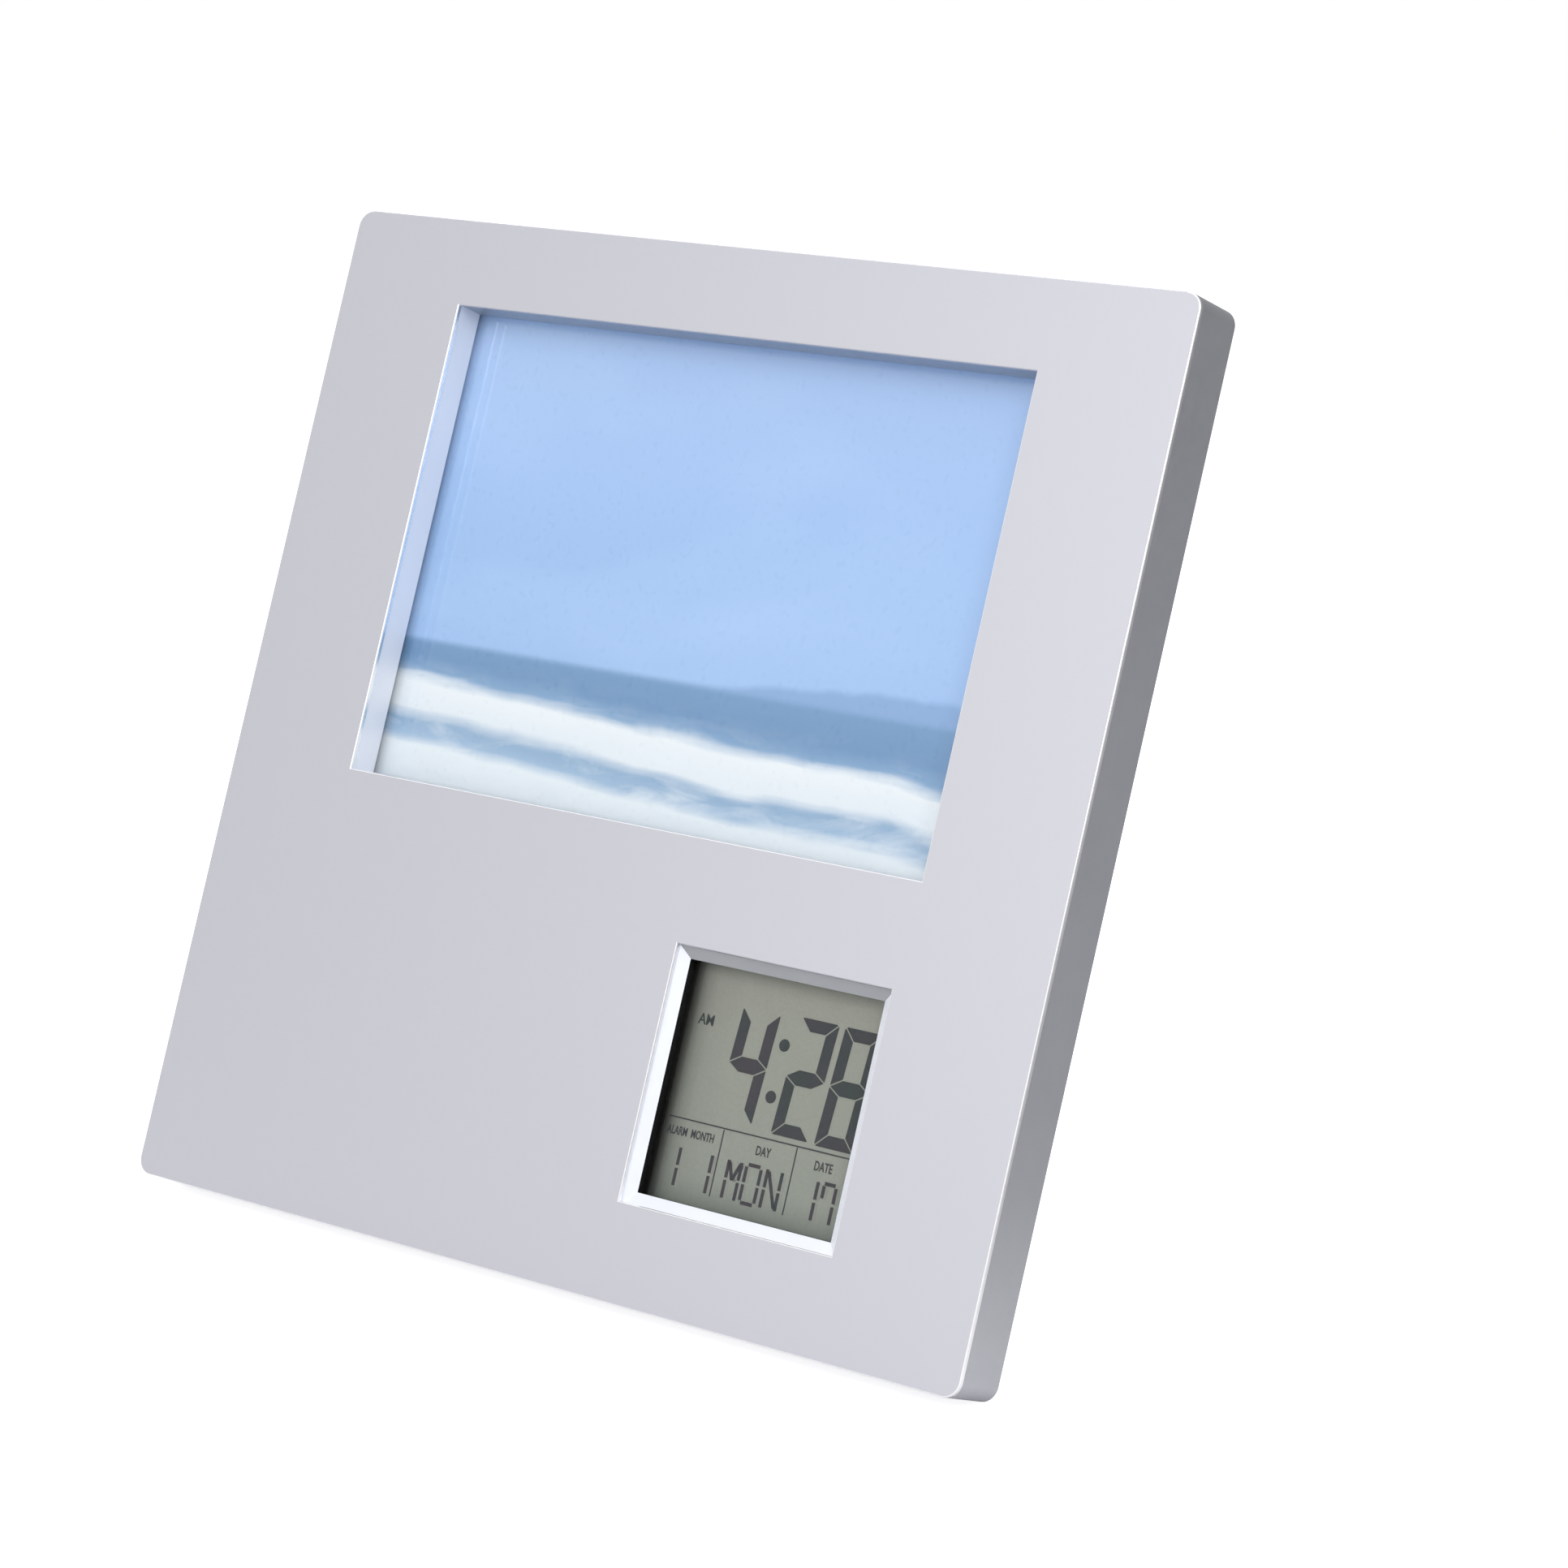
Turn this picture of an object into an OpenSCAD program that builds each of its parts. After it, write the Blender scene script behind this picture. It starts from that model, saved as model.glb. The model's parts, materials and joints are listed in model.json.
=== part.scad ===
// Photo frame clock: a square frame that leans back on a hinged leg, with a turning clock module.
// Each piece is drawn in frame coordinates: x to the right from the frame's middle, z up from its
// bottom edge, y back from its front face. stand() then leans the frame back onto its leg.

/* [Frame] */
// Width of the face beside the print, at each side
border_x = 26.5; // [24:0.1:40]
// Height of the face above the print
border_top = 13.7; // [13:0.1:30]
// Depth of the silver side, with the face plate
side_d = 11.6; // [11:0.1:13]
// Radius of the frame's corners
corner_r = 3; // [1:0.5:6]
// Thickness of the face plate
plate_t = 0.8; // [0.6:0.1:1.4]
// Thickness of the shell's side walls
wall_t = 1.5; // [1:0.1:2]
// Thickness of the shell's front wall
front_t = 2.2; // [1.6:0.1:2.4]

/* [Picture] */
// Width of the print
print_w = 127; // [112:1:180]
// Height of the print
print_h = 89; // [75:1:130]
// How much the window covers of the print at each side
print_lip_x = 1.4; // [0.5:0.1:4]
// How much the window covers of the print at top and bottom
print_lip_z = 1.9; // [0.5:0.1:4]
// Depth of the glass behind the front face
photo_depth = 6; // [4.5:0.1:6.2]
// How far the picture window's walls slope in
photo_draft = 0.2; // [0.1:0.1:1]
// Thickness of the glass
glass_t = 1.2; // [1:0.1:1.4]
// Thickness of the print
print_t = 0.2; // [0.15:0.05:0.4]
// Thickness of the backing board
board_t = 1.6; // [1:0.1:1.8]

/* [Display] */
// Side of the square display window
lcd_win = 44; // [36:0.5:46]
// Width of the display window's bevel
lcd_bevel = 2; // [1:0.1:3]
// Depth of the display window's bevel behind the face plate
bevel_d = 1.2; // [0.6:0.1:1.6]
// Distance of the clock module's axis from the right edge
mod_in = 51; // [48:0.5:56]
// Distance of the clock module's axis from the bottom edge
mod_z = 39; // [38:0.5:44]
// Side of the square display panel
lcd_side = 43; // [38:0.5:43]
// Thickness of the display panel
lcd_t = 2; // [1.2:0.1:2.2]

/* [Back cover] */
// How far the cover lies inside the frame's outline
cover_inset = 2.7; // [2.2:0.1:5]
// How far the cover stands proud of the side
cover_proud = 4; // [3.6:0.1:4.6]
// Thickness of the cover
cover_t = 2.2; // [1.6:0.1:2.4]
// Chamfer along the cover's edge
cover_chamfer = 0.8; // [0.3:0.1:1.2]
// Distance of the corner screws from the frame's sides
screw_inset = 10.7; // [10:0.1:13]
// Width of the finger notch above the picture door
notch_w = 20; // [12:1:30]
// Height of the finger notch
notch_h = 6; // [3:0.5:7]

/* [Picture door] */
// How far the door reaches past the print at the sides
door_over_x = 2.4; // [1.5:0.1:4]
// How far the door reaches past the print at top and bottom
door_over_z = 1.5; // [1:0.1:2.5]
// Thickness of the door
door_t = 2.4; // [2:0.1:2.6]
// Gap round the door at the top and sides
door_gap = 0.5; // [0.3:0.1:1]
// Gap below the door, where it swings
door_gap_low = 1.6; // [1.3:0.1:2]

/* [Leg] */
// Angle between the leg and the frame, in degrees
leg_open = 40; // [35:1:46]
// Hinge middle's distance from the frame's bottom edge and from its left edge
hinge_in = 106.6; // [100:0.2:112]
// Width of the leg at its hinge
leg_w = 29.2; // [24:0.2:34]
// Width of the leg's foot
foot_w = 56; // [44:1:64]
// Thickness of the leg
leg_t = 2.6; // [2:0.1:3.2]
// Radius of the foot's corner
foot_r = 8; // [3:0.5:14]
// Length of the pocket behind the leg's hinge
pocket_back = 11.5; // [8:0.1:14]

/* [Clock module] */
// Radius of the control disc
disc_r = 31.2; // [30.4:0.1:31.8]
// How far the button half is raised
disc_rise = 2.4; // [1.6:0.1:3]
// Height of the raised half's edge above the disc's middle
ledge_z = 15.5; // [14.4:0.1:16]
// Outer radius of the grip recesses
grip_r = 26; // [24:0.1:27]
// Width of the grip recesses
grip_w = 28.6; // [16:0.2:32]
// Diameter of the buttons
button_d = 5.4; // [4.5:0.1:6.4]
// Diameter of the button wells
well_d = 8.6; // [7.6:0.1:9.2]
// Travel of the buttons
button_travel = 0.8; // [0.5:0.1:1]

/* [Batteries] */
// Diameter of a cell
cell_d = 10.5; // [9.5:0.1:10.5]
// Length of a cell
cell_l = 44.5; // [40:0.5:45]
// Distance of the battery door's middle from the left edge
bat_in = 43; // [38:0.5:46]
// Distance of the battery door's middle from the bottom edge
bat_z = 34.6; // [32:0.2:38]

/* [Hidden] */
$fn = 64;
eps = 0.01;
silver = [0.78, 0.78, 0.8];
black = [0.1, 0.1, 0.11];
charcoal = [0.18, 0.18, 0.2];
steel = [0.7, 0.71, 0.73];
gold = [0.8, 0.65, 0.3];

// Clearances
fit_gap = 0.3;
pin_gap = 0.06;
lens_t = 1;

// Depths from the front face
wall_y = plate_t + front_t;
print_y = photo_depth + glass_t;
board_y = print_y + print_t;
board_back = board_y + board_t;
cover_y = side_d + cover_proud;
cover_in = cover_y - cover_t;
boss_y = 9.6;
bay_back = board_back + 1.1;

// Clock module's radii
mod_r = disc_r + 2.2;
ring_gap = 0.5;
ring_t = 1.4;
ring_r = mod_r + ring_gap;

// Picture window, bay and door, above the module's ring
photo_w = print_w - 2 * print_lip_x;
photo_h = print_h - 2 * print_lip_z;
bay_gap = 0.5;
bay_w = print_w + 2 * bay_gap;
bay_h = print_h + 2 * bay_gap;
bay_wall = 1.4;
bay_rise = 1.1;
photo_z = mod_z + ring_r + ring_t + bay_rise + bay_wall + bay_h / 2;
frame_w = print_w + 2 * border_x;
frame_h = photo_z + print_h / 2 + border_top;
mod_x = frame_w / 2 - mod_in;
bat_x = frame_w / 2 - bat_in;
door_w = print_w + 2 * door_over_x;
door_h = print_h + 2 * door_over_z;
door_z0 = photo_z - door_h / 2;
door_z1 = photo_z + door_h / 2;
door_in = cover_y - door_t;
door_pin_r = 1;
door_pin_y = cover_y - 2;
door_pin_z = door_z0 + 2.2;
finger_w = 2.4;
slot_w = 1.2;
slot_l = 6;
wall_door = 1.8;
rib_in = 4;
rib_t = 1.5;

// Leg and the lean that it gives: the foot's edge then lies flat on the table
lean = atan(tan(leg_open / 2) / sqrt(2));
knuckle_r = 2.1;
pocket_gap = 0.3;
tub_floor = 1.2;
pivot_y = cover_y - knuckle_r - 0.1;
leg_h0 = cover_y + pocket_gap - pivot_y;
leg_h1 = leg_h0 + leg_t;
leg_l = sqrt(2) * (hinge_in - (pivot_y - side_d - leg_h0) * tan(lean));
hinge_x = hinge_in - frame_w / 2;
leg_pin_r = 1.1;
leg_pin_l = 1.3;
pocket_w = leg_w + 2 * pocket_gap;
pocket_fore = 4;
tub_wall = 1.8;
stop_w = 1.4;

// Clock module
hole_r = disc_r + 0.5;
flange_back = cover_in - fit_gap;
flange_y = flange_back - 2;
carrier_y = wall_y + 0.4;
lcd_y = carrier_y + 1.4;
lcd_back = lcd_y + lcd_t;
pcb_t = 1;
pcb_y = lcd_back + 2.2;
pcb_back = pcb_y + pcb_t;
pcb_r = 27;
can_r = 1;
can_l = 6;
can_at = [4, -8];
buzzer_r = 6.5;
buzzer_t = 0.8;
carrier_wall = 2.2;
carrier_in = mod_r - carrier_wall;
disc_wall = 1.6;
raised_y = cover_y + disc_rise;
slope_run = 0.7;
strip_x = 34;
strip_w = 2;
strip_z = lcd_side / 2 - 1.6;
post_x = lcd_side / 2 + 2.7;
post_z = -3.5;
post_r = 2.4;
bolt_r = 1;
bolt_l = 4.5;
bolt_head_t = 1.2;
bolt_cross = 0.5;
grip_d = 2.6;
grip_z = ledge_z + slope_run * disc_rise;
well_floor = raised_y - 3;
button_top = raised_y + 0.4;
flange_r = button_d / 2 + 0.8;
flange_t = 0.8;
button_gap = 0.15;
flange_top = well_floor - disc_wall - button_gap;
stem_y = pcb_back + button_travel + 0.1;
cap_edge = 0.4;
BUTTONS = [[19.6, 6], [6.4, 6], [-6.4, 6], [-19.6, 6], [13.2, -6.2], [-13.2, -6.2]];
pinhole_z = -6.5;
VENTS = [[6.2, 21.4], [2.2, 22.1], [-1.8, 22.3]];
vent_r = 0.55;
stem_r = 2.4;

// Shell and cover
edge_step = 0.2;
cover_corner = 2;
cover_skirt = 1.6;
surround_low = 1.2;
bat_notch_w = 12;
bat_notch_h = 8;

// Cover screws
boss_r = 3.4;
head_r = 2.1;
recess_r = 2.3;
recess_floor = cover_y - 4;
screw_r = 1.2;

// Batteries
cell_y = wall_y + 0.2 + cell_d / 2;
cell_dz = cell_d / 2 + 0.4;
contact_l = 1.9;
bay_l = cell_l + 2 * contact_l;
bat_door_w = bay_l - 0.3;
bat_door_h = 4 * cell_dz + 3.6;
bat_door_t = 1.6;
tray_h = 4 * cell_dz + 0.4;
tray_wall = 1.2;
bat_ledge = cover_y - bat_door_t - fit_gap;
contact_t = 0.4;
contact_w = 8;
lead_r = 0.5;
lead_y = pcb_y + pcb_t / 2;
lead_dz = 1.2;
lead_cut = 4;
lead_turn = (mod_x - ring_r - ring_t - bat_x + bay_l / 2) / 2;

// Detent spring, up and to the left of the module
nub_r = 1;
leaf_t = 0.4;
leaf_l = 18;
leaf_r = ring_r + ring_t + 0.6;
leaf_y0 = 5;
leaf_y1 = 9;

// Leans the frame back and stands it on the table, with the footprint's middle at the origin
function tip_y(h) = let (
    reach = leg_l - foot_r * sqrt(2),
    depth = pivot_y + reach * sin(leg_open) + h * cos(leg_open),
    height = hinge_in - (reach * cos(leg_open) - h * sin(leg_open)) / sqrt(2),
    side_part = sin(lean) / sqrt(2),
    long_part = sin(leg_open) * cos(lean) - cos(leg_open) * sin(lean) / sqrt(2))
    depth * cos(lean) + height * sin(lean)
    + foot_r * sqrt(side_part * side_part + long_part * long_part);
reach_y = max(tip_y(leg_h0), tip_y(leg_h1));

module stand() {
    translate([0, -reach_y / 2, side_d * sin(lean)]) rotate([-lean, 0, 0]) children();
}

// A front-view outline, made solid from depth y0 to depth y1
module slab(y0, y1) {
    translate([0, y1, 0]) rotate([90, 0, 0]) linear_extrude(y1 - y0) children();
}

// A side-view outline of depth and height, made solid to both sides of the middle
module along_x(w) {
    rotate([90, 0, 90]) linear_extrude(w, center = true) children();
}

// A round bar that runs back from depth y0 to depth y1
module rod(r, y0, y1) {
    translate([0, y0, 0]) rotate([-90, 0, 0]) cylinder(r = r, h = y1 - y0);
}

// A round bar that runs to the right from x0 to x1
module bar_x(r, x0, x1) {
    translate([x0, 0, 0]) rotate([0, 90, 0]) cylinder(r = r, h = x1 - x0);
}

module rounded(w, h, r) {
    square([w - 2 * r, h], center = true);
    square([w, h - 2 * r], center = true);
    for (sx = [-1, 1], sz = [-1, 1])
        translate([sx * (w / 2 - r), sz * (h / 2 - r)]) circle(r);
}

module box(w, h) {
    square([w, h], center = true);
}

// A block that narrows evenly from its front to its back
module taper(w0, h0, w1, h1, y0, y1) {
    intersection() {
        linear_extrude(max(h0, h1) + 2, center = true)
            polygon([[-w0 / 2, y0], [w0 / 2, y0], [w1 / 2, y1], [-w1 / 2, y1]]);
        along_x(max(w0, w1) + 2)
            polygon([[y0, -h0 / 2], [y0, h0 / 2], [y1, h1 / 2], [y1, -h1 / 2]]);
    }
}

module at_middle() {
    translate([0, 0, frame_h / 2]) children();
}

module at_photo() {
    translate([0, 0, photo_z]) children();
}

module at_module() {
    translate([mod_x, 0, mod_z]) children();
}

module at_battery() {
    translate([-bat_x, 0, bat_z]) children();
}

module at_screws() {
    for (sx = [-1, 1], z = [screw_inset, frame_h - screw_inset])
        translate([sx * (frame_w / 2 - screw_inset), 0, z]) children();
}

// The leg's own place: x along its hinge, z away from its foot, and tilt opens it
module at_hinge(tilt) {
    translate([hinge_x, pivot_y, hinge_in]) rotate([tilt, 45, 0]) children();
}

// The detent spring's own place: z away from the module's axis
module at_detent() {
    at_module() rotate([0, -45, 0]) children();
}

module at_posts() {
    at_module() for (s = [-1, 1]) translate([s * post_x, 0, post_z]) children();
}

module face_plate() {
    color(silver) stand() difference() {
        at_middle() slab(0, plate_t) rounded(frame_w, frame_h, corner_r);
        at_photo() slab(-1, plate_t + 1) box(photo_w, photo_h);
        at_module() slab(-1, plate_t + 1) box(lcd_win, lcd_win);
    }
}

// Bevelled opening through the shell's front wall
module window_cut(w, h, run, y1, y2) {
    taper(w + 2 * edge_step, h + 2 * edge_step, w - 2 * run, h - 2 * run, plate_t, y1);
    slab(y1 - eps, y2 + 1) box(w - 2 * run, h - 2 * run);
    slab(plate_t - 1, plate_t + eps) box(w + 2 * edge_step, h + 2 * edge_step);
}

module shell_walls() {
    inner_r = max(corner_r - wall_t, 0.5);
    difference() {
        at_middle() slab(plate_t, side_d) rounded(frame_w, frame_h, corner_r);
        at_middle() slab(wall_y, side_d + 1)
            rounded(frame_w - 2 * wall_t, frame_h - 2 * wall_t, inner_r);
    }
}

module frame_shell() {
    color(silver) stand() difference() {
        union() {
            shell_walls();
            at_photo() slab(wall_y - eps, bay_back) box(bay_w + 2 * bay_wall, bay_h + 2 * bay_wall);
            at_module() difference() {
                rod(ring_r + ring_t, wall_y - eps, flange_y);
                rod(ring_r, wall_y - 1, flange_y + 1);
            }
            at_screws() rod(boss_r, wall_y - eps, boss_y);
            at_detent() for (s = [-1, 1])
                translate([s * leaf_l / 2, 0, leaf_r + leaf_t / 2]) rod(1.5, wall_y - eps, leaf_y1 + 0.5);
        }
        at_photo() slab(photo_depth, bay_back + 1) box(bay_w, bay_h);
        at_photo() window_cut(photo_w, photo_h, photo_draft, photo_depth, photo_depth);
        at_module() window_cut(lcd_win, lcd_win, lcd_bevel, plate_t + bevel_d, wall_y);
        at_screws() rod(screw_r + 0.05, wall_y + 1, boss_y + 1);
        lead_window();
        at_detent() slab(leaf_y0 - 0.5, leaf_y1 + 1) translate([-3, ring_r - 1]) square([6, ring_t + 2]);
        at_detent() slab(leaf_y0, leaf_y1 + 1) leaf_outline();
    }
}

// Slot in the module's ring where the two leads pass
module lead_window() {
    at_module() translate([-ring_r - ring_t - 1, lead_y - 1, -lead_dz - 1])
        cube([ring_t + 2, flange_y - lead_y + 2, 2 * lead_dz + 2]);
}

module photo_glass() {
    color([0.85, 0.92, 0.95, 0.35]) stand() at_photo() slab(photo_depth, print_y) box(print_w, print_h);
}

module photo_print() {
    color([0.55, 0.68, 0.85]) stand() at_photo() slab(print_y, board_y) box(print_w, print_h);
}

module backing_board() {
    color([0.25, 0.24, 0.22]) stand() at_photo() slab(board_y, board_back) box(print_w, print_h);
}

module display_lens() {
    color([0.85, 0.92, 0.95, 0.35]) stand() at_module() slab(carrier_y, carrier_y + lens_t)
        box(lcd_side - 2, lcd_side - 2);
}

module door_opening() {
    translate([-door_w / 2 - door_gap, door_z0 - door_gap_low])
        square([door_w + 2 * door_gap, door_h + door_gap + door_gap_low]);
}

// Wall round the door's opening
module door_surround() {
    translate([-door_w / 2 - door_gap - wall_door, door_z0 - door_gap_low - surround_low])
        square([door_w + 2 * (door_gap + wall_door), door_h + door_gap + door_gap_low + surround_low
            + wall_door]);
}

module notch_outline() {
    r = 3;
    translate([0, door_z1 + door_gap + notch_h / 2 - r]) rounded(notch_w, notch_h + 2 * r, r);
}

module cover_plate() {
    w = frame_w - 2 * cover_inset;
    h = frame_h - 2 * cover_inset;
    k = cover_y - boss_y - cover_chamfer;
    at_middle() difference() {
        intersection() {
            slab(boss_y, cover_y) rounded(w, h, cover_corner);
            taper(w + 2 * k, h + 2 * k, w - 2 * cover_chamfer, h - 2 * cover_chamfer, boss_y, cover_y);
        }
        slab(boss_y - 1, cover_in)
            rounded(w - 2 * cover_skirt, h - 2 * cover_skirt, cover_corner - 1);
    }
}

module back_cover() {
    color(black) stand() difference() {
        union() {
            cover_plate();
            at_screws() rod(recess_r + 1.6, boss_y, cover_in + eps);
            slab(bay_back + 0.4, cover_in + eps) door_surround();
            at_battery() slab(wall_y + 0.2, cover_in + eps)
                box(bay_l + 2 * tray_wall, tray_h + 2 * tray_wall);
        }
        slab(bay_back - 1, cover_y + 1) door_opening();
        slab(bay_back - 1, cover_y + 1) notch_outline();
        at_module() rod(hole_r, boss_y - 1, cover_y + 1);
        at_module() rod(ring_r + ring_t + fit_gap, boss_y - 1, flange_y + fit_gap);
        at_screws() rod(recess_r, recess_floor, cover_y + 1);
        at_screws() rod(screw_r + 0.25, boss_y - 1, cover_y);
        at_battery() slab(wall_y - 1, cover_y + 1) box(bay_l, tray_h);
        at_battery() slab(bat_ledge, cover_y + 1) box(bat_door_w + 2 * fit_gap, bat_door_h + 2 * fit_gap);
        at_battery() slab(cover_y - 1.6, cover_y + 1)
            translate([0, -bat_door_h / 2 - bat_notch_h / 2]) rounded(bat_notch_w, bat_notch_h + 3, 1.5);
        for (s = [-1, 1]) translate([s * (door_w / 2 + door_gap - 0.5), door_pin_y, door_pin_z])
            rotate([0, s * 90, 0]) cylinder(r = door_pin_r + pin_gap, h = wall_door);
        translate([-bat_x + bay_l / 2 - 1, lead_y, bat_z])
            for (s = [-1, 1]) translate([0, 0, s * cell_dz]) bar_x(lead_r + 0.1, 0, tray_wall + 2);
    }
}

module cover_screws() {
    color(steel) stand() at_screws() difference() {
        union() {
            rod(head_r, recess_floor, recess_floor + 1.6);
            rod(screw_r, wall_y + 1.5, recess_floor + eps);
        }
        for (a = [0, 90]) rotate([0, a, 0]) translate([-1.3, recess_floor + 0.7, -0.3]) cube([2.6, 2, 0.6]);
    }
}

module leaf_outline() {
    translate([-leaf_l / 2 - 1, leaf_r]) square([leaf_l + 2, leaf_t]);
}

module detent_spring() {
    color(steel) stand() at_detent() {
        slab(leaf_y0, leaf_y1) leaf_outline();
        translate([0, 0, mod_r + 0.15 + nub_r]) rod(nub_r, leaf_y0, leaf_y1);
        slab(leaf_y0, leaf_y1) translate([-nub_r / 2, mod_r + 0.15 + nub_r])
            square([nub_r, leaf_r - mod_r - 0.15 - nub_r + eps]);
    }
}

module battery_cells() {
    color([0.25, 0.35, 0.3]) stand() at_battery() for (s = [-1, 1])
        translate([0, cell_y, s * cell_dz]) {
            body = cell_l / 2 - 1;
            bar_x(cell_d / 2, -cell_l / 2 + (s > 0 ? 0 : 1), cell_l / 2 - (s > 0 ? 1 : 0));
            bar_x(1.9, s > 0 ? body - eps : -cell_l / 2, s > 0 ? cell_l / 2 : -body + eps);
        }
}

// Contact plate on the bay's end wall, side 1 at the right and -1 at the left
module contact_plate(side, z0, z1) {
    x = side * bay_l / 2;
    translate([min(x, x - side * contact_t), cell_y - contact_w / 2, z0]) cube([contact_t, contact_w, z1 - z0]);
}

// Bent leaf that presses on a cell's flat end
module contact_leaf(side, z) {
    x1 = side * (bay_l / 2 - contact_t + eps);
    x0 = side * (cell_l / 2 + 0.05);
    t = side * contact_t;
    translate([0, 0, z]) linear_extrude(4, center = true)
        polygon([[x1, cell_y - 3.4], [x0, cell_y], [x1, cell_y + 3.4], [x1, cell_y + 2.6],
            [x0 + t, cell_y], [x1, cell_y - 2.6]]);
}

// Raised pad that meets a cell's button end
module contact_pad(side, z) {
    x0 = side > 0 ? cell_l / 2 + 0.05 : -bay_l / 2 + contact_t - eps;
    x1 = side > 0 ? bay_l / 2 - contact_t + eps : -cell_l / 2 - 0.05;
    translate([0, cell_y, z]) bar_x(2, x0, x1);
}

module battery_link() {
    color(steel) stand() at_battery() {
        contact_plate(-1, -cell_dz - 4, cell_dz + 4);
        contact_leaf(-1, cell_dz);
        contact_pad(-1, -cell_dz);
    }
}

module battery_plus() {
    color(steel) stand() at_battery() {
        contact_plate(1, cell_dz - 4, cell_dz + 4);
        contact_pad(1, cell_dz);
    }
}

module battery_minus() {
    color(steel) stand() at_battery() {
        contact_plate(1, -cell_dz - 4, -cell_dz + 4);
        contact_leaf(1, -cell_dz);
    }
}

// A lead from its contact plate to the edge of the circuit board
module lead(side) {
    x0 = -bat_x + bay_l / 2;
    x1 = mod_x - pcb_r - fit_gap;
    z0 = bat_z + side * cell_dz;
    z1 = mod_z + side * lead_dz;
    xm = lead_turn + side * 2;
    translate([0, lead_y, 0]) {
        translate([0, 0, z0]) bar_x(lead_r, x0, xm);
        translate([xm, 0, z0]) sphere(lead_r);
        translate([xm, 0, min(z0, z1)]) cylinder(r = lead_r, h = abs(z1 - z0));
        translate([xm, 0, z1]) sphere(lead_r);
        translate([0, 0, z1]) bar_x(lead_r, xm, x1);
    }
}

module lead_plus() {
    color("firebrick") stand() lead(1);
}

module lead_minus() {
    color(black) stand() lead(-1);
}

module battery_door() {
    tongue_w = 7;
    color(black) stand() at_battery() {
        slab(cover_y - bat_door_t, cover_y) box(bat_door_w, bat_door_h);
        for (s = [-1, 1]) slab(bat_ledge - 0.6, cover_y - bat_door_t + eps)
            translate([0, s * (tray_h / 2 - 2 * fit_gap - 0.6)]) box(bay_l - 6, 1.2);
        slab(cover_y - bat_door_t, cover_y - 0.8)
            translate([-tongue_w / 2, -bat_door_h / 2 - 1.5]) square([tongue_w, 2]);
    }
}

// Pocket behind the leg's hinge, in the leg's own place
module pocket_outline(grow) {
    translate([-pocket_w / 2 - grow, -pocket_fore - grow])
        square([pocket_w + 2 * grow, pocket_fore + pocket_back + 2 * grow]);
}

// Two ribs in the pocket that the opened leg's end leans on
module leg_stops() {
    run = tan(leg_open);
    y0 = -knuckle_r - pocket_gap;
    y1 = 1;
    z0 = knuckle_r / cos(leg_open) + 0.35 + y0 * run;
    for (s = [-1, 1]) translate([s * 6, 0, 0]) along_x(stop_w)
        polygon([[y0 - eps, max(z0, 1.1)], [y1, max(z0 + (y1 - y0) * run, 1.1)], [y1, pocket_back + eps],
            [y0 - eps, pocket_back + eps]]);
}

module photo_door() {
    finger_x = door_w / 2 - finger_w - slot_w;
    color(black) stand() {
        difference() {
            union() {
                at_photo() slab(door_in, cover_y) box(door_w, door_h);
                at_photo() slab(board_back + fit_gap, door_in + eps) difference() {
                    box(print_w - 2 * rib_in, print_h - 2 * rib_in);
                    box(print_w - 2 * (rib_in + rib_t), print_h - 2 * (rib_in + rib_t));
                }
                at_hinge(0) slab(-knuckle_r - pocket_gap - tub_floor, door_in - pivot_y + eps)
                    pocket_outline(tub_wall);
                for (s = [-1, 1]) translate([s * (door_w / 2 - 1), door_pin_y, door_pin_z])
                    rotate([0, s * 90, 0]) cylinder(r = door_pin_r, h = 1 + door_gap + 0.8);
            }
            at_hinge(0) slab(-knuckle_r - pocket_gap, knuckle_r + 1) pocket_outline(0);
            at_hinge(0) bar_x(leg_pin_r + pin_gap, -pocket_w / 2 - 1.2, pocket_w / 2 + 1.2);
            for (s = [-1, 1]) translate([s * (finger_x + slot_w / 2) - slot_w / 2, door_in - 1, door_z0 - 1])
                cube([slot_w, door_t + 2, slot_l + 1]);
        }
        at_hinge(0) leg_stops();
    }
}

module leg_outline() {
    side_z = -(leg_l - foot_w / 2);
    k = foot_r / sqrt(2);
    polygon([[-leg_w / 2, knuckle_r], [leg_w / 2, knuckle_r], [foot_w / 2, side_z], [k, -leg_l + k],
        [-k, -leg_l + k], [-foot_w / 2, side_z]]);
    translate([0, -leg_l + foot_r * sqrt(2)]) circle(foot_r);
}

module support_leg() {
    slot_x = leg_w / 2 - finger_w - slot_w;
    color(charcoal) stand() at_hinge(leg_open) {
        difference() {
            union() {
                slab(leg_h0, leg_h1) leg_outline();
                bar_x(knuckle_r, -leg_w / 2, leg_w / 2);
                slab(0, leg_h0 + eps) box(leg_w, 2 * knuckle_r);
            }
            for (s = [-1, 1]) translate([s * (slot_x + slot_w / 2) - slot_w / 2, -knuckle_r - 1,
                knuckle_r - slot_l]) cube([slot_w, 4 * knuckle_r + leg_t, slot_l + 1]);
        }
        for (s = [-1, 1]) translate([s * (leg_w / 2 - 1), 0, 0])
            rotate([0, s * 90, 0]) cylinder(r = leg_pin_r, h = 1 + leg_pin_l);
    }
}

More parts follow.
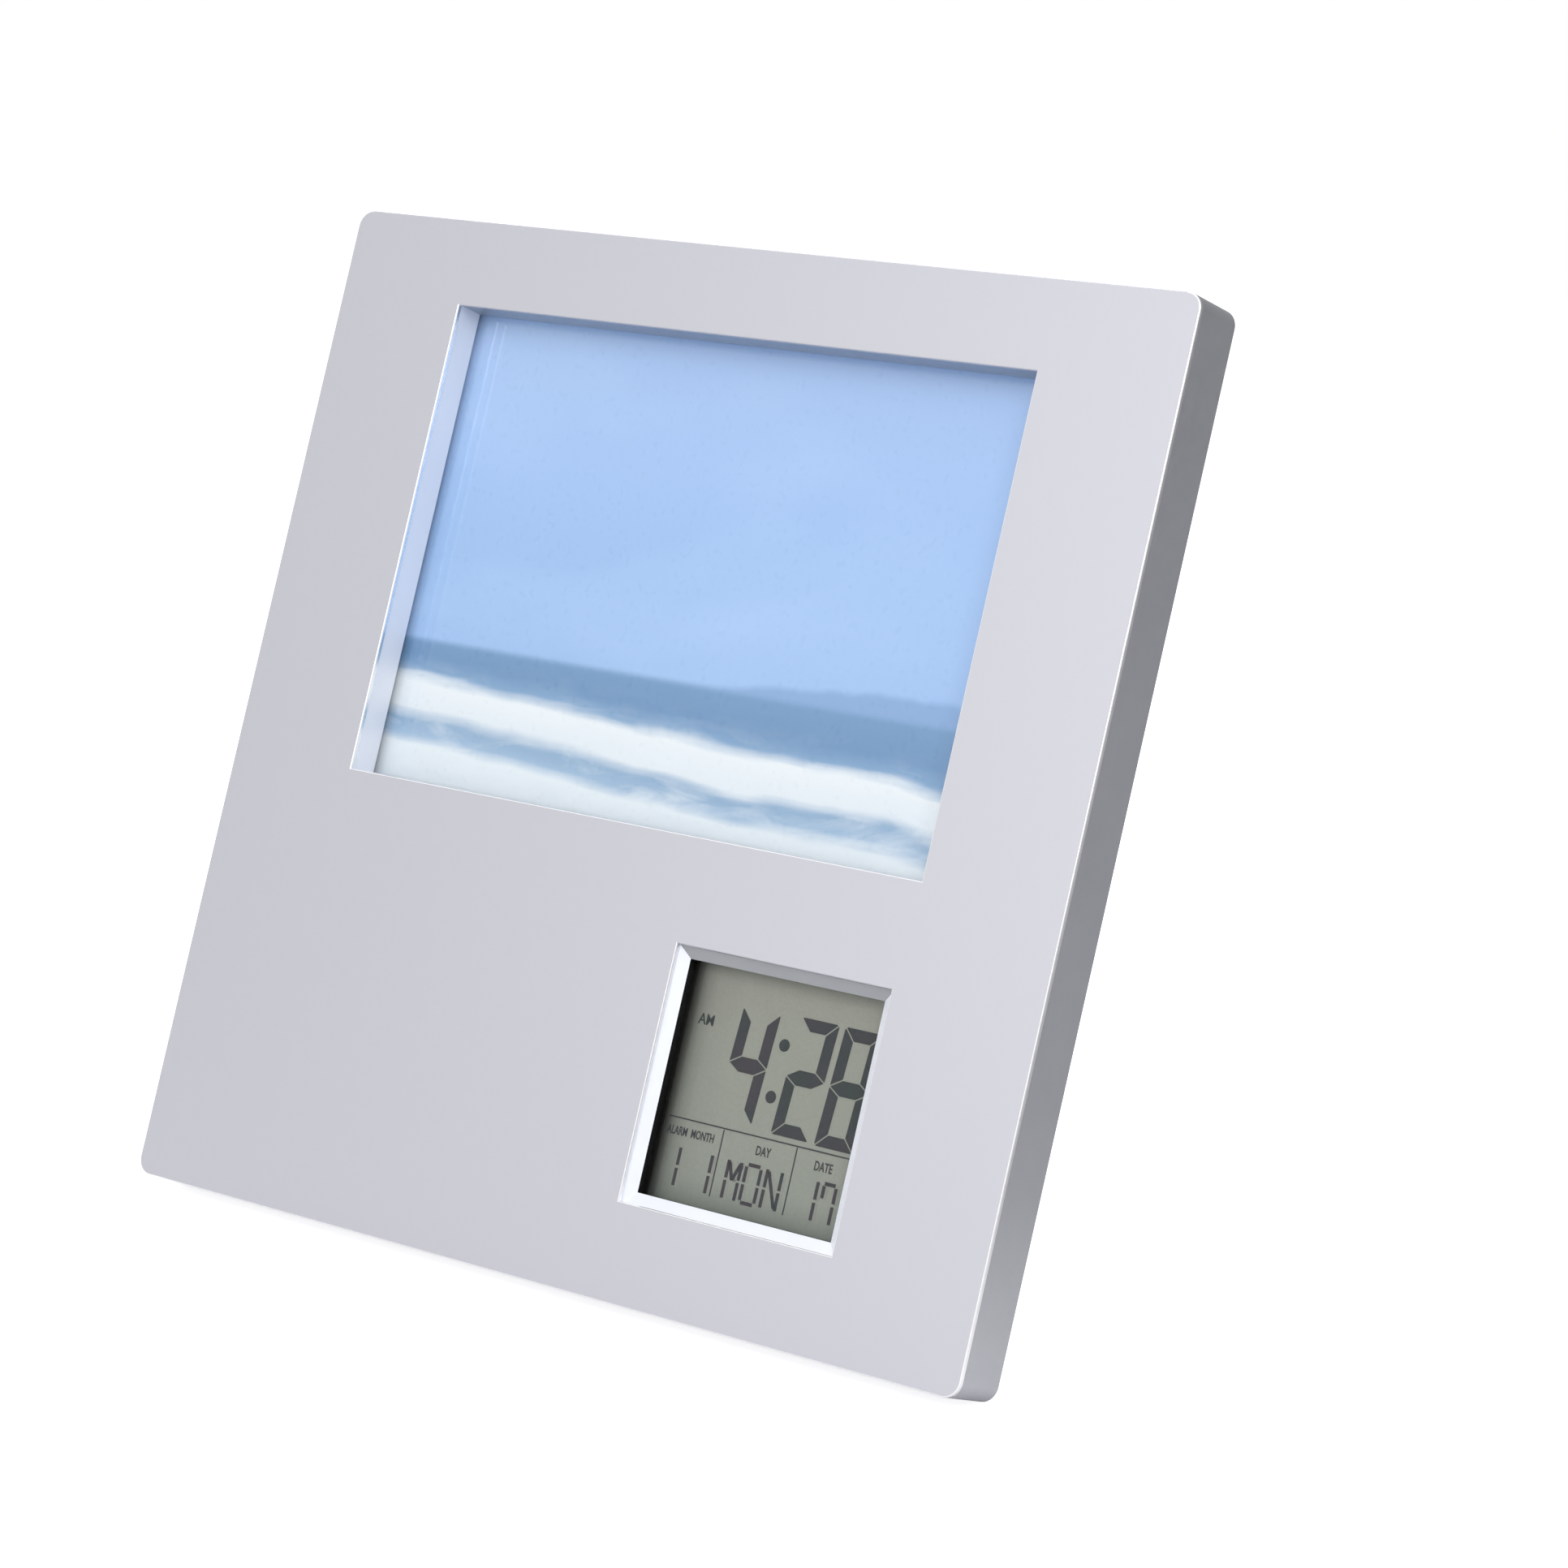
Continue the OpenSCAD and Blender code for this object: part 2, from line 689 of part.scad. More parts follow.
module module_carrier() {
    color(black) stand() difference() {
        union() {
            at_module() difference() {
                rod(mod_r, carrier_y, flange_y);
                slab(carrier_y - 1, lcd_y + eps) box(lcd_side - 2, lcd_side - 2);
                slab(lcd_y, lcd_back + eps) box(lcd_side + 0.2, lcd_side + 0.2);
                rod(carrier_in, lcd_back, flange_y + 1);
                slab(lead_y - 1.1, flange_y + 1) difference() {
                    translate([-mod_r - lead_cut, -mod_r - lead_cut]) square(mod_r + 2 * lead_cut);
                    circle(carrier_in - 1);
                }
            }
            at_posts() rod(post_r, lcd_back - eps, pcb_y);
        }
        for (a = [-45, -135]) at_module() rotate([0, a, 0]) translate([0, 0, mod_r + 0.6])
            rod(nub_r + 0.2, carrier_y - 1, flange_y + 1);
        at_posts() rod(bolt_r + 0.1, carrier_y - 1, pcb_y + 1);
        at_posts() rod(bolt_r + 0.9, carrier_y - 1, carrier_y + 0.1 + bolt_head_t);
    }
}

module lcd_panel() {
    color([0.62, 0.66, 0.62]) stand() at_module() slab(lcd_y, lcd_back) box(lcd_side, lcd_side);
}

module zebra_strips() {
    color([0.75, 0.45, 0.5]) stand() at_module() for (s = [-1, 1])
        slab(lcd_back, pcb_y) translate([0, s * strip_z]) box(strip_x, strip_w);
}

module circuit_board() {
    color([0.1, 0.35, 0.2]) stand() difference() {
        at_module() rod(pcb_r, pcb_y, pcb_back);
        at_posts() rod(bolt_r + 0.1, pcb_y - 1, pcb_back + 1);
    }
}

module controller_blob() {
    color(black) stand() at_module() translate([-6, pcb_y, 4]) rotate([90, 0, 0]) rotate_extrude()
        polygon([[0, 0], [5.5, 0], [5.2, 0.5], [4.2, 1], [2.4, 1.3], [0, 1.4]]);
}

module crystal_can() {
    color(steel) stand() at_module() translate([can_at[0], pcb_y - can_r, can_at[1]]) bar_x(can_r, 0, can_l);
}

module buzzer_disc() {
    color(gold) stand() at_module() translate([0, 0, pinhole_z])
        rod(buzzer_r, raised_y - disc_wall - buzzer_t, raised_y - disc_wall);
}

module at_buttons() {
    at_module() for (b = BUTTONS) translate([b[0], 0, b[1]]) children();
}

module keypad_mat() {
    color([0.3, 0.3, 0.32]) stand() difference() {
        at_module() rod(pcb_r - 0.5, pcb_back, pcb_back + 1.2);
        at_buttons() rod(stem_r + 1.4, pcb_back - 1, pcb_back + 2);
        at_posts() rod(post_r + 0.2, pcb_back - 1, pcb_back + 2);
    }
}

// D-shaped space of a grip recess, with its straight side sloping; dir 1 is the upper one
module grip_cut(dir, top_y, grow) {
    floor_y = top_y - grip_d - grow;
    z0 = grip_z - 1.4 * grow;
    intersection() {
        rod(grip_r + grow, floor_y, top_y + 1 - grow);
        along_x(grip_w + 2 * grow)
            polygon([[floor_y, dir * (z0 + slope_run * grip_d)], [top_y, dir * z0], [top_y + 2, dir * z0],
                [top_y + 2, dir * mod_r], [floor_y, dir * mod_r]]);
    }
}

// The disc's raised half, whose edge slopes up to it
module raised_half(r, top_y, edge) {
    intersection() {
        rod(r, flange_y, top_y);
        along_x(3 * disc_r)
            polygon([[flange_y, -mod_r], [flange_y, edge + slope_run * (top_y - flange_y)], [top_y, edge],
                [top_y, -mod_r]]);
    }
}

module control_disc() {
    color(black) stand() {
        difference() {
            union() {
                at_module() difference() {
                    union() {
                        rod(mod_r, flange_y, flange_back);
                        rod(disc_r, flange_y, cover_y);
                        intersection() {
                            raised_half(disc_r, raised_y, ledge_z);
                            rod(disc_r, cover_y - 1, raised_y);
                        }
                    }
                    rod(disc_r - disc_wall, flange_y - 1, cover_y - disc_wall);
                    intersection() {
                        raised_half(disc_r - disc_wall, raised_y - disc_wall, ledge_z - 1.4);
                        rod(disc_r, flange_y, raised_y - disc_wall);
                    }
                }
                at_module() grip_cut(1, cover_y, 1.2);
                at_module() grip_cut(-1, raised_y, 1.2);
                at_buttons() rod(well_d / 2 + 1.2, well_floor - disc_wall, raised_y - eps);
                at_posts() rod(post_r, pcb_back, raised_y - disc_wall + eps);
            }
            at_module() grip_cut(1, cover_y, 0);
            at_module() grip_cut(-1, raised_y, 0);
            at_buttons() rod(well_d / 2, well_floor, raised_y + 1);
            at_buttons() rod(button_d / 2 + button_gap, flange_y, raised_y);
            at_posts() rod(bolt_r + 0.03, pcb_back - 1, pcb_back + bolt_l + 0.5);
            at_module() translate([0, 0, pinhole_z]) rod(0.6, cover_y, raised_y + 1);
            at_module() for (v = VENTS) translate([v[0], 0, v[1]]) rod(vent_r, flange_y, cover_y + 1);
        }
    }
}

module module_screws() {
    color(steel) stand() at_posts() difference() {
        union() {
            rod(bolt_r + 0.8, carrier_y + 0.1, carrier_y + 0.1 + bolt_head_t);
            rod(bolt_r, carrier_y + bolt_head_t, pcb_back + bolt_l);
        }
        for (a = [0, 90]) rotate([0, a, 0]) translate([-bolt_r - 0.1, carrier_y, -bolt_cross / 2])
            cube([2 * bolt_r + 0.2, 0.1 + bolt_cross, bolt_cross]);
    }
}

module button(n) {
    r = button_d / 2;
    color([0.55, 0.55, 0.58]) stand() at_module() translate([BUTTONS[n][0], 0, BUTTONS[n][1]])
        rotate([-90, 0, 0]) rotate_extrude() polygon([[0, stem_y], [stem_r, stem_y],
            [stem_r, flange_top - flange_t], [flange_r, flange_top - flange_t], [flange_r, flange_top],
            [r, flange_top], [r, button_top - cap_edge], [r - cap_edge, button_top], [0, button_top]]);
}

face_plate();
frame_shell();
photo_glass();
photo_print();
backing_board();
display_lens();
back_cover();
cover_screws();
detent_spring();
battery_cells();
battery_link();
battery_plus();
battery_minus();
lead_plus();
lead_minus();
battery_door();
photo_door();
support_leg();
module_carrier();
lcd_panel();
zebra_strips();
circuit_board();
controller_blob();
crystal_can();
buzzer_disc();
keypad_mat();
control_disc();
module_screws();
button(0);  // button_1
button(1);  // button_2
button(2);  // button_3
button(3);  // button_4
button(4);  // button_5
button(5);  // button_6
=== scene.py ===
"""Looks of the photo frame clock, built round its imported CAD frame."""
import json
import math

import bmesh
import bpy
from mathutils import Matrix, Vector

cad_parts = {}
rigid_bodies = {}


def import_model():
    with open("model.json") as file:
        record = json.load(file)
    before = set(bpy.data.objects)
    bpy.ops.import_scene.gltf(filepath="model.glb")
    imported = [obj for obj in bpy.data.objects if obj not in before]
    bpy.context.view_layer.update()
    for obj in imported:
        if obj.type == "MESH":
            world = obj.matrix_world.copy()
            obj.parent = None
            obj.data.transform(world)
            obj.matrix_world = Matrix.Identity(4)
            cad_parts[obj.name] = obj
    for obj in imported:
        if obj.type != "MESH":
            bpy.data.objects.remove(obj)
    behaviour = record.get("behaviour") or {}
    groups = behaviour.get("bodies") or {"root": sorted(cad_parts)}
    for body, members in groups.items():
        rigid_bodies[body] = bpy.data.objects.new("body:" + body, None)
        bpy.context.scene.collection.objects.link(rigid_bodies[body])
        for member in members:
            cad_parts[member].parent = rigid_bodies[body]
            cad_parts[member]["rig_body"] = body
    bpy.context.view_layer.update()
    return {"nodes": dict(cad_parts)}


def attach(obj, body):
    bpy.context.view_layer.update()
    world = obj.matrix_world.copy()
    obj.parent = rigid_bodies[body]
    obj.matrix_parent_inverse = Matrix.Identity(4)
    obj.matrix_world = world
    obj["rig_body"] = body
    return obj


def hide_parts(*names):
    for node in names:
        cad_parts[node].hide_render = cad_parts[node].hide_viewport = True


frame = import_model()
nodes = frame["nodes"]

# The frame's own place, as in the CAD source: millimetres, x right, z up, y back from the face.
MM = 0.001
LEAN = math.radians(14.4328)
REACH = 116.156
SIDE_D = 11.6
STAND = (Matrix.Scale(MM, 4) @ Matrix.Translation((0, -REACH / 2, SIDE_D * math.sin(LEAN)))
         @ Matrix.Rotation(-LEAN, 4, "X"))
UNSTAND = STAND.inverted()

# Sizes and places as in the CAD source. BETWEEN_Z lies between the two windows.
SIDE = 180
CORNER_R = 3
PLATE_T = 0.8
CHAMFER = 0.22
PHOTO_Z = 121.8
PHOTO_W, PHOTO_H = 124.2, 85.2
PRINT_W, PRINT_H = 127, 89
PRINT_FRONT, PRINT_BACK = 7.21, 7.4
LCD_WIN = 44.0
MOD = (39.0, 39.0)
LCD_Y = 4.8
BETWEEN_Z = 70
RAISED_Y = 18.0
BUTTONS = [f"button_{number}" for number in range(1, 7)]


def add(name, data):
    """A new object in the scene."""
    thing = bpy.data.objects.new(name, data)
    bpy.context.scene.collection.objects.link(thing)
    return thing


def in_frame(face):
    """A face's middle and its unit normal in the frame's own place."""
    return UNSTAND @ face.center, (UNSTAND.to_3x3() @ face.normal) * MM


# ---------------------------------------------------------------- materials

def material(name):
    """An empty Principled material: its tree, its shader and the material."""
    mat = bpy.data.materials.new(name)
    mat.use_nodes = True
    tree = mat.node_tree
    tree.nodes.clear()
    out = tree.nodes.new("ShaderNodeOutputMaterial")
    shader = tree.nodes.new("ShaderNodeBsdfPrincipled")
    tree.links.new(shader.outputs[0], out.inputs[0])
    return tree, shader, mat


def place(tree, stretch=(1, 1, 1)):
    """The surface point in the frame's own millimetres, stretched for grain."""
    coord = tree.nodes.new("ShaderNodeTexCoord")
    undo = tree.nodes.new("ShaderNodeMapping")
    undo.vector_type = "TEXTURE"
    undo.inputs["Location"].default_value = STAND.translation
    undo.inputs["Rotation"].default_value = (-LEAN, 0, 0)
    undo.inputs["Scale"].default_value = (MM, MM, MM)
    tree.links.new(coord.outputs["Object"], undo.inputs["Vector"])
    if stretch == (1, 1, 1):
        return undo.outputs[0]
    more = tree.nodes.new("ShaderNodeMapping")
    more.inputs["Scale"].default_value = stretch
    tree.links.new(undo.outputs[0], more.inputs["Vector"])
    return more.outputs[0]


def noise(tree, vector, scale, detail=2.0, rough=0.5, distort=0.0):
    node = tree.nodes.new("ShaderNodeTexNoise")
    node.inputs["Scale"].default_value = scale
    node.inputs["Detail"].default_value = detail
    node.inputs["Roughness"].default_value = rough
    node.inputs["Distortion"].default_value = distort
    tree.links.new(vector, node.inputs["Vector"])
    return node.outputs["Fac"]


def ramp(tree, value, stops, mode="LINEAR"):
    node = tree.nodes.new("ShaderNodeValToRGB")
    node.color_ramp.interpolation = mode
    points = node.color_ramp.elements
    while len(points) < len(stops):
        points.new(0.5)
    for point, (at, colour) in zip(points, stops):
        point.position = at
        grey = isinstance(colour, (int, float))
        point.color = (colour, colour, colour, 1) if grey else (*colour, 1)
    tree.links.new(value, node.inputs["Fac"])
    return node.outputs["Color"]


def math_node(tree, kind, a, b=0.0, c=0.0):
    node = tree.nodes.new("ShaderNodeMath")
    node.operation = kind
    for socket, value in zip(node.inputs, (a, b, c)):
        if isinstance(value, (int, float)):
            socket.default_value = value
        else:
            tree.links.new(value, socket)
    return node.outputs[0]


def mixed(tree, factor, a, b, blend="MIX"):
    node = tree.nodes.new("ShaderNodeMix")
    node.data_type = "RGBA"
    node.blend_type = blend
    for socket, value in ((node.inputs[0], factor), (node.inputs[6], a), (node.inputs[7], b)):
        if isinstance(value, (int, float)):
            socket.default_value = value
        elif isinstance(value, tuple):
            socket.default_value = (*value, 1)
        else:
            tree.links.new(value, socket)
    return node.outputs[2]


def bump(tree, shader, height, strength, distance):
    node = tree.nodes.new("ShaderNodeBump")
    node.inputs["Strength"].default_value = strength
    node.inputs["Distance"].default_value = distance * MM
    tree.links.new(height, node.inputs["Height"])
    tree.links.new(node.outputs[0], shader.inputs["Normal"])


def srgb(r, g, b):
    """A colour given as on a screen, 0 to 255, in the linear values that Blender takes."""
    return tuple((v / 255 / 12.92) if v <= 10 else ((v / 255 + 0.055) / 1.055) ** 2.4 for v in (r, g, b))


def shade(colour, k):
    return tuple(v * k for v in colour)


def plastic(name, colour, rough=0.4, grain=3.0, depth=0.02, vary=0.06, metallic=0.0, spec=0.5):
    """Moulded plastic or paint: fine grain, faint mottling and uneven gloss."""
    tree, shader, mat = material(name)
    p = place(tree)
    cloud = noise(tree, p, 0.05, 3, 0.6)
    tree.links.new(ramp(tree, cloud, [(0.3, shade(colour, 1 - vary)), (0.7, shade(colour, 1 + vary))]),
                   shader.inputs["Base Color"])
    fine = noise(tree, p, grain, 2, 0.6)
    wear = noise(tree, p, grain * 0.12, 3, 0.6)
    tree.links.new(ramp(tree, wear, [(0.3, rough * 0.88), (0.7, rough * 1.12)]), shader.inputs["Roughness"])
    shader.inputs["Metallic"].default_value = metallic
    shader.inputs["Specular IOR Level"].default_value = spec
    bump(tree, shader, fine, 0.5, depth)
    return mat


def metal(name, colour, rough=0.3, stretch=(1, 1, 1), grain=2.0, depth=0.01, vary=0.05):
    """Metal with a brushed or rolled grain along the axis that is stretched least."""
    tree, shader, mat = material(name)
    p = place(tree, stretch)
    line = noise(tree, p, grain, 3, 0.6)
    tree.links.new(ramp(tree, line, [(0.25, shade(colour, 1 - vary)), (0.75, shade(colour, 1 + vary))]),
                   shader.inputs["Base Color"])
    tree.links.new(ramp(tree, line, [(0.2, rough * 0.85), (0.8, rough * 1.15)]), shader.inputs["Roughness"])
    shader.inputs["Metallic"].default_value = 1.0
    bump(tree, shader, line, 0.4, depth)
    return mat


def clear(name, tint, gloss=1.0):
    """Flat clear pane: passes what is behind it, with a soft reflection on top.

    It reflects 4% seen straight on and more at a grazing angle, the same from both sides. Shadow and
    diffuse rays go through it whole.
    """
    mat = bpy.data.materials.new(name)
    mat.use_nodes = True
    tree = mat.node_tree
    tree.nodes.clear()
    out = tree.nodes.new("ShaderNodeOutputMaterial")
    mix = tree.nodes.new("ShaderNodeMixShader")
    through = tree.nodes.new("ShaderNodeBsdfTransparent")
    shine = tree.nodes.new("ShaderNodeBsdfGlossy")
    through.inputs[0].default_value = (*tint, 1)
    p = place(tree)
    tree.links.new(ramp(tree, noise(tree, p, 0.06, 3), [(0.3, 0.02), (0.7, 0.05)]), shine.inputs["Roughness"])
    weight = tree.nodes.new("ShaderNodeLayerWeight")
    weight.inputs["Blend"].default_value = 0.5
    grazing = math_node(tree, "POWER", weight.outputs["Facing"], 5.0)
    mirror = math_node(tree, "MULTIPLY_ADD", grazing, 0.7, 0.04)
    path = tree.nodes.new("ShaderNodeLightPath")
    lit = math_node(tree, "MAXIMUM", path.outputs["Is Shadow Ray"], path.outputs["Is Diffuse Ray"])
    seen = math_node(tree, "MULTIPLY_ADD", lit, -gloss, gloss)
    tree.links.new(math_node(tree, "MULTIPLY", mirror, seen), mix.inputs[0])
    tree.links.new(through.outputs[0], mix.inputs[1])
    tree.links.new(shine.outputs[0], mix.inputs[2])
    tree.links.new(mix.outputs[0], out.inputs[0])
    return mat


def seascape(name):
    """A generic stretch of coast: sky with thin cloud, open sea, surf and wet foam."""
    tree, shader, mat = material(name)
    p = place(tree)
    split = tree.nodes.new("ShaderNodeSeparateXYZ")
    tree.links.new(p, split.inputs[0])
    x = math_node(tree, "DIVIDE", split.outputs["X"], PHOTO_W)
    v = math_node(tree, "MULTIPLY_ADD",
                  math_node(tree, "SUBTRACT", split.outputs["Z"], PHOTO_Z - PHOTO_H / 2), 1 / PHOTO_H)
    haze = noise(tree, place(tree, (0.35, 1, 1)), 0.03, 3, 0.5, 0.4)
    sky = ramp(tree, v, [(0.3, srgb(150, 183, 230)), (0.55, srgb(152, 185, 233)), (1.0, srgb(165, 194, 242))])
    sky = mixed(tree, ramp(tree, haze, [(0.42, 0.0), (0.72, 0.5)]), sky, srgb(176, 204, 246))
    swell = noise(tree, place(tree, (0.1, 1, 1)), 0.3, 3, 0.5, 0.2)
    warp = noise(tree, place(tree, (1, 1, 0.4)), 0.028, 3, 0.5)
    tide = math_node(tree, "MULTIPLY_ADD", x, 0.05, v)
    edge = math_node(tree, "MULTIPLY_ADD", math_node(tree, "SUBTRACT", warp, 0.5), 0.07,
                     math_node(tree, "MULTIPLY_ADD", math_node(tree, "SUBTRACT", swell, 0.5), 0.035, tide))
    sea = ramp(tree, edge, [(0.0, srgb(220, 226, 236)), (0.045, srgb(228, 233, 241)),
                            (0.07, srgb(152, 180, 211)), (0.1, srgb(135, 166, 200)),
                            (0.125, srgb(224, 229, 238)), (0.18, srgb(232, 235, 242)),
                            (0.205, srgb(120, 156, 196)), (0.24, srgb(97, 137, 182)),
                            (0.3, srgb(103, 143, 188))])
    foam = noise(tree, place(tree, (0.3, 1, 1)), 0.22, 4, 0.6, 0.8)
    crest = math_node(tree, "MULTIPLY", ramp(tree, foam, [(0.45, 0.0), (0.7, 1.0)]),
                      ramp(tree, edge, [(0.02, 0.7), (0.09, 0.45), (0.19, 0.6), (0.22, 0.1), (0.27, 0.0)]))
    sea = mixed(tree, crest, sea, srgb(228, 233, 241))
    rise = ramp(tree, math_node(tree, "ADD", x, 0.5),
                [(0.56, 0.0), (0.66, 0.5), (0.76, 0.72), (0.86, 0.9), (1.0, 1.0)], "B_SPLINE")
    crown = math_node(tree, "MULTIPLY_ADD", noise(tree, place(tree, (1, 0, 0)), 0.09, 3, 0.5), 0.05, 0.025)
    hill = math_node(tree, "SUBTRACT", v, math_node(tree, "MULTIPLY_ADD", rise, crown, 0.3))
    sky = mixed(tree, ramp(tree, math_node(tree, "ADD", hill, 0.5), [(0.493, 0.75), (0.507, 0.0)]), sky,
                srgb(118, 154, 202))
    picture = mixed(tree, ramp(tree, v, [(0.292, 0.0), (0.306, 1.0)]), sea, sky)
    tree.links.new(picture, shader.inputs["Base Color"])
    tree.links.new(ramp(tree, noise(tree, p, 0.8, 2), [(0.3, 0.26), (0.7, 0.34)]), shader.inputs["Roughness"])
    shader.inputs["Specular IOR Level"].default_value = 0.3
    return mat


def display_glass(name):
    """The display's grey-green ground, lighter at the top right, with painted shade: a painted shadow of the
    window wall along the left, darker top and bottom edges and corners.
    """
    tree, shader, mat = material(name)
    p = place(tree)
    split = tree.nodes.new("ShaderNodeSeparateXYZ")
    tree.links.new(p, split.inputs[0])
    across = math_node(tree, "MULTIPLY_ADD", split.outputs["X"], 1 / LCD_WIN, 0.5 - MOD[0] / LCD_WIN)
    up = math_node(tree, "MULTIPLY_ADD", split.outputs["Z"], 1 / LCD_WIN, 0.5 - MOD[1] / LCD_WIN)
    ground_and_painted_shade = ramp(tree, up, [(0.0, srgb(90, 97, 91)), (0.06, srgb(122, 128, 121)), (0.16, srgb(136, 140, 132)),
                           (0.6, srgb(140, 142, 133)), (0.95, srgb(143, 144, 135)),
                           (1.0, srgb(112, 112, 104))])
    # Painted shadow of the window wall, darkest at the left edge.
    painted_wall_shadow = ramp(tree, across, [(0.0, 0.02), (0.05, 0.05), (0.075, 0.3), (0.11, 0.68), (0.16, 0.9), (0.3, 1.0),
                              (1.0, 1.03)])
    ground_and_painted_shade = mixed(tree, 1.0, ground_and_painted_shade, painted_wall_shadow, "MULTIPLY")
    speck = ramp(tree, noise(tree, p, 3.0, 2), [(0.35, 0.95), (0.65, 1.03)])
    tree.links.new(mixed(tree, 1.0, ground_and_painted_shade, speck, "MULTIPLY"), shader.inputs["Base Color"])
    tree.links.new(ramp(tree, noise(tree, p, 0.4, 2), [(0.3, 0.4), (0.7, 0.5)]), shader.inputs["Roughness"])
    shader.inputs["Specular IOR Level"].default_value = 0.3
    return mat


def segment_ink(name):
    """Switched-on segments: dark slate that drifts between green and violet."""
    tree, shader, mat = material(name)
    drift = noise(tree, place(tree), 0.12, 2, 0.5)
    ink = ramp(tree, drift, [(0.35, srgb(28, 38, 40)), (0.5, srgb(36, 38, 45)), (0.65, srgb(44, 38, 47))])
    tree.links.new(ink, shader.inputs["Base Color"])
    fine = noise(tree, place(tree), 2.0)
    tree.links.new(ramp(tree, fine, [(0.3, 0.45), (0.7, 0.55)]), shader.inputs["Roughness"])
    shader.inputs["Specular IOR Level"].default_value = 0.3
    return mat


MAT = {
    "face": metal("satin_face", srgb(187, 187, 194), 0.46, (0.15, 1, 3), 2.5, 0.006, 0.02),
    "cut": metal("cut_edge", (0.93, 0.93, 0.95), 0.22, (0.2, 0.2, 0.2), 3.0, 0.004, 0.03),
    "side": plastic("side_paint", srgb(188, 190, 196), 0.38, 4.0, 0.012, 0.03, 0.85),
    "well": plastic("window_paint", srgb(232, 235, 243), 0.35, 4.0, 0.01, 0.02, 0.2),
    # Painted shade on the windows' undersides, bluish in the print window as a painted reflection of the
    # print.
    "painted_shade_print_top": plastic("window_top_painted_shade_and_reflection", srgb(136, 148, 166), 0.35, 4.0, 0.01, 0.03, 0.3),
    "under": plastic("window_under_painted_shade", srgb(154, 156, 160), 0.35, 4.0, 0.01, 0.03, 0.3),
    "pane": clear("pane_glass", (0.985, 0.995, 0.99), 1.2),
    "lens": clear("display_lens_clear", (0.985, 0.99, 0.985), 0.45),
    "print": seascape("seascape_print"),
    "board": plastic("backing_board_fibre", srgb(74, 70, 64), 0.8, 1.5, 0.05, 0.15),
    "cover": plastic("cover_black", srgb(21, 21, 20), 0.42, 3.0, 0.015, 0.08, spec=0.25),
    "door": plastic("door_black", srgb(20, 18, 16), 0.38, 3.0, 0.012, 0.08, spec=0.25),
    "leg": plastic("leg_charcoal", srgb(38, 39, 47), 0.36, 2.5, 0.015, 0.05, spec=0.4),
    # Painted highlight for the step on the control disc.
    "painted_step_highlight": plastic("cover_black_painted_step_highlight", srgb(118, 119, 124), 0.35, 3.0, 0.012, 0.06, spec=0.4),
    "button": plastic("button_grey", srgb(150, 151, 155), 0.45, 4.0, 0.015, 0.04),
    "steel": metal("spring_steel", (0.62, 0.62, 0.63), 0.28, (1, 0.2, 1)),
    "zinc": metal("screw_zinc", (0.58, 0.57, 0.54), 0.34),
    "cell": plastic("cell_sleeve", srgb(58, 76, 66), 0.3, 1.0, 0.01, 0.1, 0.3),
    "emboss": plastic("raised_marks", srgb(74, 74, 76), 0.35, 3.0, 0.01, 0.08),
    "red": plastic("lead_red", srgb(150, 34, 30), 0.45, 4.0, 0.02),
    "black": plastic("lead_black", srgb(24, 24, 25), 0.45, 4.0, 0.02),
    # The display's ground carries painted shade along its edges.
    "lcd": display_glass("display_ground_painted_shade"),
    "ink": segment_ink("display_segments"),
    # Painted shadow of the calendar row on the display's back.
    "painted_shadow": plastic("display_painted_shadow", srgb(128, 131, 124), 0.5, 4.0, 0.005, 0.05),
    "rubber": plastic("contact_rubber", srgb(168, 112, 118), 0.7, 3.0, 0.03),
    "mat": plastic("keypad_rubber", srgb(80, 80, 84), 0.75, 3.0, 0.03),
    "pcb": plastic("circuit_green", srgb(26, 84, 52), 0.35, 2.0, 0.02, 0.12),
    "chip": plastic("epoxy_black", srgb(20, 20, 22), 0.25, 1.5, 0.04),
    "brass": metal("buzzer_brass", (0.72, 0.55, 0.26), 0.3),
}

NODE_MAT = {
    "photo_glass": "pane", "backing_board": "board", "display_lens": "lens", "back_cover": "cover",
    "cover_screws": "zinc", "detent_spring": "steel", "battery_cells": "cell", "battery_link": "steel",
    "battery_plus": "steel", "battery_minus": "steel", "lead_plus": "red", "lead_minus": "black",
    "battery_door": "door", "photo_door": "door", "support_leg": "leg", "module_carrier": "cover",
    "lcd_panel": "lcd", "zebra_strips": "rubber", "circuit_board": "pcb", "controller_blob": "chip",
    "crystal_can": "steel", "buzzer_disc": "brass", "keypad_mat": "mat", "control_disc": "cover",
    "module_screws": "zinc",
}
for name in BUTTONS:
    NODE_MAT[name] = "button"
for name, key in NODE_MAT.items():
    nodes[name].data.materials.clear()
    nodes[name].data.materials.append(MAT[key])

